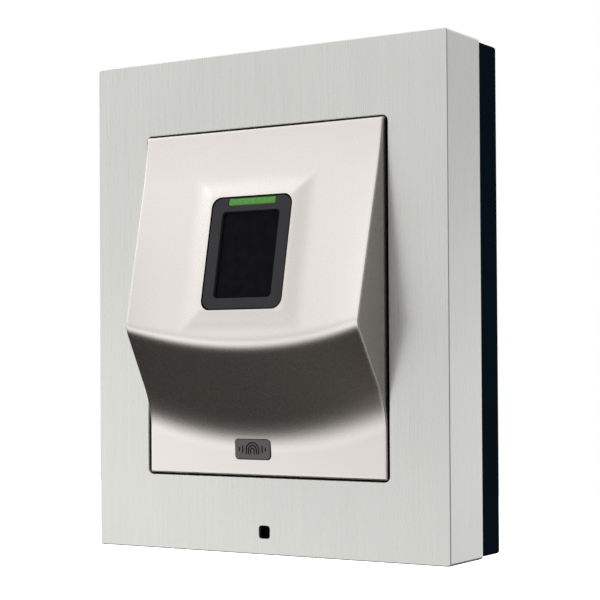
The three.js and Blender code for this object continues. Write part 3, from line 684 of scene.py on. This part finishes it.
def hood_depth(across, z):
    """How far the hood stands out of the frame's face, `across` running from -1 to 1."""
    bow = across * across
    flare = bow * bow
    slope = (HOOD["slope"] + HOOD["slope_at_sides"] * flare) * (COVER["height"] / 2 - z)
    overhang = HOOD["underside"] + HOOD["underside_at_sides"] * flare
    underside = overhang * (z - HOOD["foot_middle"] - HOOD["foot_rise"] * bow)
    ridge = soft_lower(slope, underside, HOOD["ridge_softness"])
    cove = HOOD["cove_softness"] + HOOD["cove_widening"] * bow
    return max(0.0, -soft_lower(-ridge, 0.0, cove))


def pad_height(x, z):
    """The raised surround of the scanner: flat round the bezel, with flanks that meet in soft hips."""
    up_slope = (z - READER_Z) / math.cos(READER_TILT)
    side = (PAD["width"] / 2 - abs(x)) / ((PAD["width"] - PAD["top_width"]) / 2)
    end = (PAD["height"] / 2 - abs(up_slope)) / ((PAD["height"] - PAD["top_height"]) / 2)
    flank = soft_lower(side, end, PAD_SOFTNESS["hip"])
    if flank < PAD_REACH:
        return 0.0
    level = soft_lower(flank, 1.0, PAD_SOFTNESS["top"])
    level = -soft_lower(-level, 0.0, PAD_SOFTNESS["foot"])
    return max(0.0, level) * PAD["proud"] / math.cos(READER_TILT)


def edge_steps(half, edge, cell, turns=4):
    """Places across the hood: even cells, then a few closer ones where the rim rounds over."""
    inner = half - edge
    cells = max(2, round(2 * inner / cell))
    middle = [-inner + 2 * inner * i / cells for i in range(cells + 1)]
    rim = [inner + edge * math.sin(turn / turns * math.pi / 2) for turn in range(1, turns + 1)]
    return [-r for r in reversed(rim)] + middle + rim


def rim_drop(distance, edge):
    """How far the surface has fallen at this distance in from the edge."""
    if distance >= edge:
        return 0.0
    return edge - math.sqrt(max(0.0, edge * edge - (edge - distance) ** 2))


def hood_solid(name, inset, rear_y, cell, edge, with_pad):
    """A block whose front follows the hood, drawn in by `inset`."""
    half_x = COVER["width"] / 2 - inset
    half_z = COVER["height"] / 2 - inset
    across_places = edge_steps(half_x, edge, cell)
    up_places = edge_steps(half_z, edge, cell)
    columns, rows = len(across_places), len(up_places)
    points = []
    for z in up_places:
        for x in across_places:
            depth = hood_depth(x / half_x, z)
            width = half_x - COVER["draft"] * depth
            at_x = x / half_x * width
            raised = pad_height(at_x, z) if with_pad else 0.0
            drop = rim_drop(half_x - abs(x), edge) + rim_drop(half_z - abs(z), edge)
            points.append((at_x, FRONT_Y - depth - raised + inset + drop, z))
    faces = []
    for row in range(rows - 1):
        for column in range(columns - 1):
            at = row * columns + column
            faces.append((at, at + 1, at + columns + 1, at + columns))
    border = list(range(columns))
    border += [row * columns + columns - 1 for row in range(1, rows)]
    border += [(rows - 1) * columns + i for i in range(columns - 2, -1, -1)]
    border += [row * columns for row in range(rows - 2, 0, -1)]
    rings = [border]
    for y in (FRONT_Y + inset + edge + RIM_STEP, rear_y):
        ring = []
        for index in border:
            x, _, z = points[index]
            on_a_side = index % columns in (0, columns - 1)
            ring.append(len(points))
            points.append((math.copysign(half_x, x) if on_a_side else x, y, z))
        rings.append(ring)
    for first, second in zip(rings, rings[1:]):
        for i in range(len(border)):
            k = (i + 1) % len(border)
            faces.append((first[i], first[k], second[k], second[i]))
    faces.append(tuple(rings[-1]))
    return mesh_object(name, points, faces)


def front_cover():
    body = hood_solid("front_cover_fine", 0, COVER["rear_y"], HOOD_CELL, COVER["edge"], True)
    flange = slab(
        "flange",
        COVER_FLANGE["half_x"],
        COVER_FLANGE["half_z"],
        COVER_FLANGE["corner"],
        COVER_FLANGE["rear_y"],
        COVER_FLANGE["front_y"],
        FLANGE_EDGE,
    )
    join(body, flange)
    hollow = hood_solid("hollow", COVER["wall"], 0, HOLLOW_CELL, HOLLOW_EDGE, False)
    gap = BEZEL["gap"]
    opening = slab(
        "opening",
        BEZEL["half_x"] + gap,
        BEZEL["half_z"] + gap,
        BEZEL["corner"],
        OPENING_REACH[0],
        OPENING_REACH[1],
        steps=READER_STEPS,
    )
    badge_gap = BADGE["gap"]
    seat = slab(
        "seat",
        BADGE["half_x"] + badge_gap,
        BADGE["half_z"] + badge_gap,
        BADGE["corner"] + badge_gap,
        BADGE["rear_y"] + badge_gap,
        FRONT_Y - SEAT_REACH,
        centre=(BADGE["x"], BADGE["z"]),
    )
    cut(body, hollow, place(opening, READER_PLACE), seat)
    for x, z in corners(POST["x"], POST["z"]):
        front_y = FRONT_Y - hood_depth(x / (COVER["width"] / 2), z) + COVER["wall"] / 2
        boss = rod("boss", COVER_BOSS["radius"], front_y, COVER_BOSS["rear_y"], x, z, 32)
        join(body, boss)
        bore_rear_y = COVER_BOSS["rear_y"] + CUT_REACH
        cut(body, rod("bore", COVER_BOSS["bore"], COVER_BOSS["bore_front_y"], bore_rear_y, x, z, 24))
    smooth(body.data, COVER_SMOOTH_ANGLE)
    return body


# ---------------------------------------------------------------- the metal frame


def front_frame():
    half_x, half_z = FRAME_HIGH.x, FRAME_HIGH.z
    inner_x = half_x - FRAME_WALLS["side"]
    inner_high = half_z - FRAME_WALLS["top"]
    inner_low = -half_z + FRAME_WALLS["bottom"]
    middle = (0, (inner_high + inner_low) / 2)
    inner_z = (inner_high - inner_low) / 2
    plate_y = FRONT_Y + FRAME_PLATE
    rear_y = FRAME_HIGH.y
    edge = FRAME_EDGE
    soft = FRAME_REAR_EDGE
    loops = [rounded_loop(half_x - soft, half_z - soft, FRAME_CORNER, rear_y)]
    loops += [rounded_loop(half_x, half_z, FRAME_CORNER, rear_y - soft)]
    loops += edge_loops(half_x, half_z, FRAME_CORNER, FRONT_Y, edge)
    loops += hole_loops(APERTURE["half_x"], APERTURE["half_z"], APERTURE["corner"], FRONT_Y, edge)
    loops += [rounded_loop(APERTURE["half_x"], APERTURE["half_z"], APERTURE["corner"], plate_y)]
    loops += [rounded_loop(inner_x, inner_z, FRAME_INNER_CORNER, plate_y, middle)]
    loops += [rounded_loop(inner_x, inner_z, FRAME_INNER_CORNER, rear_y, middle)]
    body = loft("front_frame_fine", loops, closed=True)
    port_ends = (plate_y + CUT_REACH, FRONT_Y - CUT_REACH)
    cut(body, slab("port", PORT["half"], PORT["half"], PORT["corner"], *port_ends, centre=(0, PORT["z"])))
    low, high = -half_z - CUT_REACH, inner_low + CUT_REACH
    upright = Matrix.Rotation(math.pi / 2, 4, "X")
    for side in (-1, 1):
        x = side * LOCK["x"]
        for half, top in ((LOCK["slot"] / 2, high), (LOCK["recess"] / 2, LOCK["recess_high"])):
            round_end = rod("end", half, low, top)
            place(round_end, Matrix.Translation((x, LOCK["y"], 0)) @ upright)
            channel = block("channel", (x - half, LOCK["y"], low), (x + half, rear_y + CUT_REACH, top))
            cut(body, round_end, channel)
        rib_x = side * HOOK["x"]
        rib_low = (rib_x - HOOK["half"], HOOK["y"][0], HOOK["low"])
        rib_high = (rib_x + HOOK["half"], HOOK["y"][1], inner_high + CUT_REACH)
        join(body, block("rib", rib_low, rib_high))
    return body


def port_plug():
    """A dark square insert, dished in the middle, with its retaining lip behind the plate."""
    low, high = node_box("port_plug")
    half, corner = PLUG["half"], PLUG["corner"]
    lip_half = high.x
    front_y = low.y
    centre = (0, PORT["z"])
    rim_half, dish_half = half - PLUG["rim"], half - PLUG["dish"]
    loops = [
        rounded_loop(lip_half, lip_half, corner, high.y, centre),
        rounded_loop(lip_half, lip_half, corner, PLUG["lip_front_y"], centre),
        rounded_loop(half, half, corner, PLUG["lip_front_y"], centre),
    ]
    loops += edge_loops(half, half, corner, front_y, PLUG["edge"], centre)
    loops += [
        rounded_loop(rim_half, rim_half, PLUG["rim_corner"], front_y, centre),
        rounded_loop(dish_half, dish_half, PLUG["dish_corner"], front_y + PLUG["dish_depth"], centre),
    ]
    return loft("port_plug_fine", loops)


# ---------------------------------------------------------------- the scanner


def sensor_bezel():
    """The grey border: a rounded rim, a sloped step down to the window, and legs for the board."""
    inner_x, inner_z, corner = WINDOW["half_x"], WINDOW["half_z"], WINDOW["corner"]
    outer_x, outer_z, outer_corner = BEZEL["half_x"], BEZEL["half_z"], BEZEL["corner"]
    flange_x, flange_z = BEZEL["flange_x"], BEZEL["flange_z"]
    lip, flare = WINDOW["lip"], BEZEL["window_flare"]
    middle = WINDOW["centre"]
    pocket_y = WINDOW["front_y"] - WINDOW["gap"]
    loops = [rounded_loop(flange_x, flange_z, outer_corner, BEZEL["rear_y"], steps=READER_STEPS)]
    loops += [rounded_loop(flange_x, flange_z, outer_corner, BEZEL["shoulder_y"], steps=READER_STEPS)]
    loops += [rounded_loop(outer_x, outer_z, outer_corner, BEZEL["shoulder_y"], steps=READER_STEPS)]
    loops += edge_loops(outer_x, outer_z, outer_corner, BEZEL["front_y"], BEZEL["edge"], steps=READER_STEPS)
    loops += hole_loops(
        inner_x + flare, inner_z + flare, corner, BEZEL["front_y"], BEZEL["window_edge"], middle, READER_STEPS
    )
    loops += [rounded_loop(inner_x, inner_z, corner, pocket_y, middle, READER_STEPS)]
    loops += [rounded_loop(inner_x + lip, inner_z + lip, corner, pocket_y, middle, READER_STEPS)]
    loops += [rounded_loop(inner_x + lip, inner_z + lip, corner, BEZEL["rear_y"], middle, READER_STEPS)]
    body = loft("sensor_bezel_fine", loops, closed=True)
    top = BEZEL["half_z"] - LIGHT["top_gap"]
    gap = LIGHT["gap"]
    cut(
        body,
        block(
            "notch",
            (-LIGHT["half_x"] - gap, -NOTCH_REACH, top - LIGHT["height"] - gap),
            (LIGHT["half_x"] + gap, NOTCH_REACH, top + gap),
        ),
    )
    for x, z in corners(LEG["x"], LEG["z"]):
        half = LEG["half"]
        root_y = BEZEL["rear_y"] - LEG["root"]
        join(body, block("leg", (x - half, root_y, z - half), (x + half, LEG["end_y"], z + half)))
    return place(body, READER_PLACE)


def sensor_window():
    reach = WINDOW["lip"] - WINDOW["gap"]
    body = slab(
        "sensor_window_fine",
        WINDOW["half_x"] + reach,
        WINDOW["half_z"] + reach,
        WINDOW["corner"],
        WINDOW["front_y"] + WINDOW["thickness"],
        WINDOW["front_y"],
        WINDOW["edge"],
        WINDOW["centre"],
        READER_STEPS,
    )
    return place(body, READER_PLACE)


def light_guide():
    z = BEZEL["half_z"] - LIGHT["top_gap"] - LIGHT["height"] / 2
    body = slab(
        "light_guide_fine",
        LIGHT["half_x"],
        LIGHT["height"] / 2,
        LIGHT["corner"],
        LIGHT["rear_y"],
        LIGHT["front_y"],
        LIGHT["edge"],
        centre=(0, z),
        steps=4,
    )
    return place(body, READER_PLACE)


def badge():
    """A plate with a soft rim, and a generic mark of arches and bars engraved in it."""
    centre = (BADGE["x"], BADGE["z"])
    front_y = BADGE["front_y"]
    body = slab(
        "badge_fine",
        BADGE["half_x"],
        BADGE["half_z"],
        BADGE["corner"],
        BADGE["rear_y"],
        front_y,
        BADGE["edge"],
        centre,
        10,
    )
    depths = (front_y + ENGRAVING["depth"], front_y - CUT_REACH)
    for radius in ENGRAVING["arches"]:
        cut(body, arch("arch", radius, radius - ENGRAVING["line"], depths))
    half_line = ENGRAVING["line"] / 2
    for offset, half_height in ENGRAVED_BARS.items():
        for x in (BADGE["x"] - offset, BADGE["x"] + offset):
            place_at = (x, BADGE["z"])
            bar = slab("bar", half_line, half_height, ENGRAVED_CORNER, *depths, centre=place_at, steps=3)
            cut(body, bar)
    return body


def arch(name, outer, inner, depths, steps=18):
    """A half ring with straight feet, as used in the badge's mark."""
    spring_z = BADGE["z"] + ENGRAVING["spring"]
    foot_z = BADGE["z"] + ENGRAVING["foot"]
    outline = []
    for radius in (outer, -inner):
        side = math.copysign(1, radius)
        outline.append((BADGE["x"] + radius, foot_z))
        for step in range(steps + 1):
            angle = math.pi * step / steps
            across = side * abs(radius) * math.cos(angle)
            outline.append((BADGE["x"] + across, spring_z + abs(radius) * math.sin(angle)))
        outline.append((BADGE["x"] - radius, foot_z))
    loops = [[(x, y, z) for x, z in outline] for y in depths]
    return loft(name, loops)


# ---------------------------------------------------------------- building the object

stands_for(front_frame(), "front_frame", MATERIALS["brushed_metal"], "frame")
stands_for(port_plug(), "port_plug", PLUG_BLACK, "frame")
stands_for(front_cover(), "front_cover", MATERIALS["cover_plastic"], "housing")
stands_for(sensor_bezel(), "sensor_bezel", MATERIALS["grey_plastic"], "housing")
stands_for(sensor_window(), "sensor_window", MATERIALS["dark_glass"], "housing")
stands_for(light_guide(), "light_guide", MATERIALS["green_light"], "housing")
stands_for(badge(), "badge", MATERIALS["badge_metal"], "housing")

EDGES = {
    "wall_box": 0.4,
    "module_chassis": 0.25,
    "main_board": 0.1,
    "sensor_board": 0.1,
    "ribbon_cable": 0.05,
}
DEFAULT_EDGE = 0.12
bodies = frame["record"]["behaviour"]["bodies"]
body_of_node = {node: body for body, nodes in bodies.items() for node in nodes}
slot_of_node = {row["node"]: row["material_slot"] for row in frame["record"]["subparts"]}
done = {node for o in bpy.context.scene.objects for node in o.get("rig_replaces", [])}
for node in sorted(set(frame["nodes"]) - done):
    slot = slot_of_node[node]
    piece = refined(node, EDGES.get(node, DEFAULT_EDGE))
    stands_for(piece, node, MATERIALS[slot], body_of_node[node])

# ---------------------------------------------------------------- stage, light and camera


# The studio's light by height, from straight down (-1) to straight up (1), as (height, colour).
SKY = [
    (-1, (0.011, 0.0095, 0.008)),
    (-0.51, (0.011, 0.0095, 0.008)),
    (-0.15, (0.94, 0.94, 0.94)),
    (-0.1, (0.80, 0.80, 0.80)),
    (-0.06, (0.69, 0.69, 0.69)),
    (-0.02, (0.655, 0.655, 0.655)),
    (0.05, (0.435, 0.435, 0.435)),
    (0.12, (0.53, 0.53, 0.53)),
    (0.33, (0.665, 0.665, 0.665)),
    (0.7, (0.645, 0.645, 0.645)),
    (1, (0.51, 0.51, 0.51)),
]
SKY_LEVEL = 1.3
# The studio is brighter towards this side, by this share of its level.
SKY_SIDE = (-0.9, 0.36, 0)
SKY_SWING = 0.62
# Its horizon leans, because height is measured along this axis.
SKY_LEAN = (0.42, -0.28, 1)
# It is dark to the right in front: the direction, where that fades in, and the share of light left.
SKY_FLAG = (0.69, -0.70, -0.18)
SKY_FLAG_FADE = (0.70, 0.93)
SKY_FLAG_LEFT = 0.25
FLOOR = {"half": 3000, "z": -320}
# The three lamps, placed and sized in metres. They all point at the middle of the terminal.
LAMPS = {
    "key": {
        "position": (-1.15, -0.32, 0.85),
        "size": (0.5, 0.5),
        "watts": 2.8,
        "colour": (1, 1, 1),
    },
    "top": {
        "position": (-0.25, -0.45, 1.3),
        "size": (0.7, 0.4),
        "watts": 0.8,
        "colour": (1, 1, 1),
    },
    "low": {
        "position": (0.10, -1.0, -0.95),
        "size": (0.7, 0.5),
        "watts": 0.32,
        "colour": (1.0, 0.86, 0.75),
    },
}


def world_node(tree, kind, **settings):
    node = tree.nodes.new(kind)
    for key, value in settings.items():
        setattr(node, key, value)
    return node


def along(tree, direction, axis):
    """The dot product of the direction looked at with an axis."""
    node = world_node(tree, "ShaderNodeVectorMath", operation="DOT_PRODUCT")
    node.inputs[1].default_value = axis
    tree.links.new(direction, node.inputs[0])
    return node.outputs["Value"]


def mapped(tree, value, start, end, interpolation="LINEAR"):
    """A value mapped from the range `start` to the range `end`."""
    node = world_node(tree, "ShaderNodeMapRange", interpolation_type=interpolation)
    node.inputs["From Min"].default_value, node.inputs["From Max"].default_value = start
    node.inputs["To Min"].default_value, node.inputs["To Max"].default_value = end
    tree.links.new(value, node.inputs["Value"])
    return node.outputs["Result"]


def floor():
    """A pale glowing floor that only the camera sees."""
    half, z = FLOOR["half"], FLOOR["z"]
    outline = [(-half, -half, z), (half, -half, z), (half, half, z), (-half, half, z)]
    piece = mesh_object("floor", outline, [(0, 1, 2, 3)])
    paper = Shader("floor_paper")
    paper.set(Roughness=1.0)
    shade = paper.ramp(paper.noise(400), (0.98, 0.98, 0.98), (1.0, 1.0, 1.0))
    paper.colour(shade)
    paper.link(shade, paper.surface.inputs["Emission Color"])
    paper.surface.inputs["Emission Strength"].default_value = 1.0
    piece.data.materials.append(paper.material)
    piece.visible_diffuse = False
    piece.visible_glossy = False
    piece.visible_shadow = False


def studio():
    """The light that comes from all round, with a plain white backdrop for the camera."""
    world = bpy.data.worlds.new("studio")
    world.use_nodes = True
    bpy.context.scene.world = world
    tree = world.node_tree
    background = tree.nodes["Background"]
    direction = tree.nodes.new("ShaderNodeTexCoord").outputs["Generated"]
    ramp = tree.nodes.new("ShaderNodeValToRGB")
    stops = ramp.color_ramp.elements
    for height, tone in SKY[1:-1]:
        stops.new((height + 1) / 2).color = (*tone, 1)
    for stop, (height, tone) in ((stops[0], SKY[0]), (stops[-1], SKY[-1])):
        stop.position = (height + 1) / 2
        stop.color = (*tone, 1)
    share_up = mapped(tree, along(tree, direction, SKY_LEAN), (-1, 1), (0, 1))
    tree.links.new(share_up, ramp.inputs["Fac"])
    side = world_node(tree, "ShaderNodeMath", operation="MULTIPLY_ADD")
    side.inputs[1].default_value = SKY_LEVEL * SKY_SWING
    side.inputs[2].default_value = SKY_LEVEL
    tree.links.new(along(tree, direction, SKY_SIDE), side.inputs[0])
    flag = mapped(
        tree, along(tree, direction, SKY_FLAG), SKY_FLAG_FADE, (1, SKY_FLAG_LEFT), "SMOOTHSTEP"
    )
    level = world_node(tree, "ShaderNodeMath", operation="MULTIPLY")
    tree.links.new(side.outputs[0], level.inputs[0])
    tree.links.new(flag, level.inputs[1])
    seen = tree.nodes.new("ShaderNodeLightPath").outputs["Is Camera Ray"]
    strength = tree.nodes.new("ShaderNodeMix")
    tree.links.new(seen, strength.inputs["Factor"])
    tree.links.new(level.outputs[0], strength.inputs["A"])
    strength.inputs["B"].default_value = 1
    tree.links.new(strength.outputs["Result"], background.inputs["Strength"])
    colour = world_node(tree, "ShaderNodeMix", data_type="RGBA")
    tree.links.new(seen, colour.inputs["Factor"])
    tree.links.new(ramp.outputs["Color"], colour.inputs[6])
    colour.inputs[7].default_value = (1, 1, 1, 1)
    tree.links.new(colour.outputs[2], background.inputs["Color"])


def softbox(name, target, position, size, watts, colour):
    lamp = bpy.data.lights.new(name, "AREA")
    lamp.shape = "RECTANGLE"
    lamp.size, lamp.size_y = size
    lamp.energy = watts
    lamp.color = colour
    lamp_object = bpy.data.objects.new(name, lamp)
    lamp_object.location = position
    lamp_object.rotation_mode = "QUATERNION"
    lamp_object.rotation_quaternion = (Vector(target) - Vector(position)).to_track_quat("-Z", "Y")
    bpy.context.scene.collection.objects.link(lamp_object)


floor()
studio()
CENTRE = (CAD_LOW + CAD_HIGH) / 2
for lamp_name, settings in LAMPS.items():
    softbox(lamp_name, CENTRE, **settings)

# Angles in degrees, distance and target in millimetres. The lens is given in widths of the sensor.
CAMERA = {
    "azimuth": 31.95,
    "elevation": -0.73,
    "roll": -0.37,
    "distance": 423.17,
    "target": (11.19, FRONT_Y, -9.89),
    "sensor": 36,
    "frame_widths": 2.77833,
    "shift_y": 0.06633,
}


def camera():
    """The camera stands to the right of the terminal, nearly level with it."""
    azimuth, elevation, roll = (math.radians(CAMERA[key]) for key in ("azimuth", "elevation", "roll"))
    target = Vector(CAMERA["target"]) * MM
    data = bpy.data.cameras.new("camera")
    data.sensor_width = CAMERA["sensor"]
    data.lens = CAMERA["frame_widths"] * CAMERA["sensor"]
    data.shift_y = CAMERA["shift_y"]
    data.clip_start = 0.01
    level = math.cos(elevation)
    back = Vector((math.sin(azimuth) * level, -math.cos(azimuth) * level, math.sin(elevation)))
    camera_object = bpy.data.objects.new("camera", data)
    camera_object.location = target + back * CAMERA["distance"] * MM
    camera_object.rotation_mode = "QUATERNION"
    upright = (-back).to_track_quat("-Z", "Y")
    camera_object.rotation_quaternion = upright @ Matrix.Rotation(roll, 3, "Z").to_quaternion()
    bpy.context.scene.collection.objects.link(camera_object)
    bpy.context.scene.camera = camera_object


camera()
bpy.context.scene.view_settings.view_transform = "Standard"
